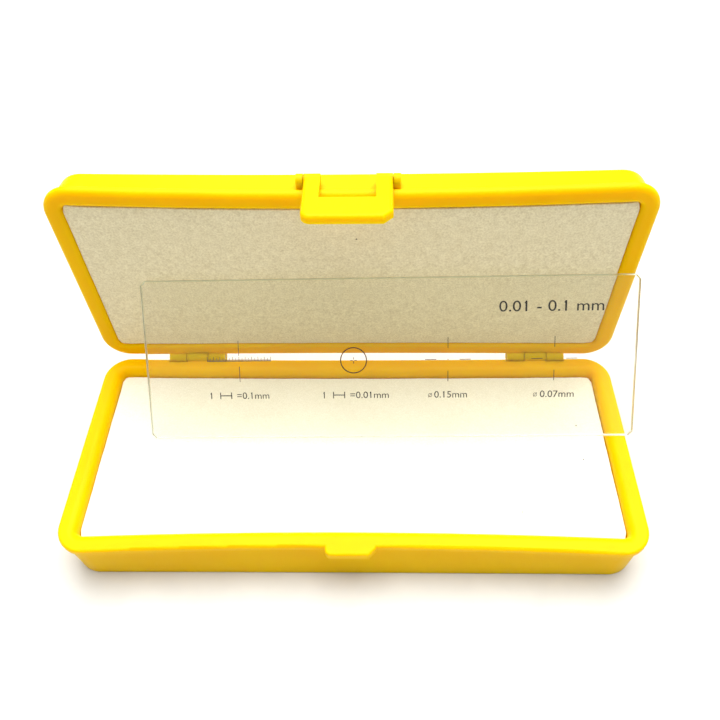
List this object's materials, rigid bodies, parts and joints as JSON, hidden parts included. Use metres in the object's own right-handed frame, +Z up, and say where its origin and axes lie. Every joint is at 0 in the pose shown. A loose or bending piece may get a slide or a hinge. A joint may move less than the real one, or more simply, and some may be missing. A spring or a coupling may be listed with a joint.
{
  "type": "microscope calibration slide in hinged case",
  "caption": "Glass calibration slide with printed scales and dot targets, leaning in an open hinged plastic case with foam pads and a swing latch.",
  "frame": {"origin": "centre of the base's underside, on the surface the open case stands on", "axes": "+X to the right along the case, +Y back to the hinges, +Z up"},
  "size_m": [0.0871, 0.0419, 0.0452],
  "materials": {
    "case": "satin moulded polypropylene",
    "foam": "fine open-cell foam",
    "film": "clear adhesive film",
    "pin": "drawn wire",
    "glass": "polished faces, ground edges",
    "print": "fired ink"
  },
  "bodies": {
    "base": {"base_tray": "case", "base_foam": "foam", "base_foam_film": "film", "hinge_pin_left": "pin", "hinge_pin_right": "pin"},
    "lid": {"lid_tray": "case", "lid_foam": "foam", "lid_foam_film": "film"},
    "latch": {"latch": "case"},
    "slide": {"glass_slide": "glass", "tenth_scale": "print", "hundredth_scale": "print", "finding_ring": "print", "large_dot_target": "print", "small_dot_target": "print", "range_label": "print", "tenth_label": "print", "hundredth_label": "print", "large_dot_label": "print", "small_dot_label": "print"}
  },
  "joints": [
    {"name": "lid_hinge", "type": "hinge", "parent": "base", "child": "lid", "pos_m": [0, 0.01785, 0.0089], "axis": [1, 0, 0], "range_deg": [0, 91.5]},
    {"name": "latch_hinge", "type": "hinge", "parent": "lid", "child": "latch", "pos_m": [0, 0.02117, 0.04408], "axis": [-1, 0, 0], "range_deg": [0, 150]},
    {"name": "slide_lift", "type": "slide", "parent": "base", "child": "slide", "axis": [0, -0.9455, 0.3256], "range_m": [0, 0.0865]}
  ],
  "couplings": [
    {"joint": "slide_lift", "follows": "lid_hinge", "m_per_rad": 0.054}
  ]
}
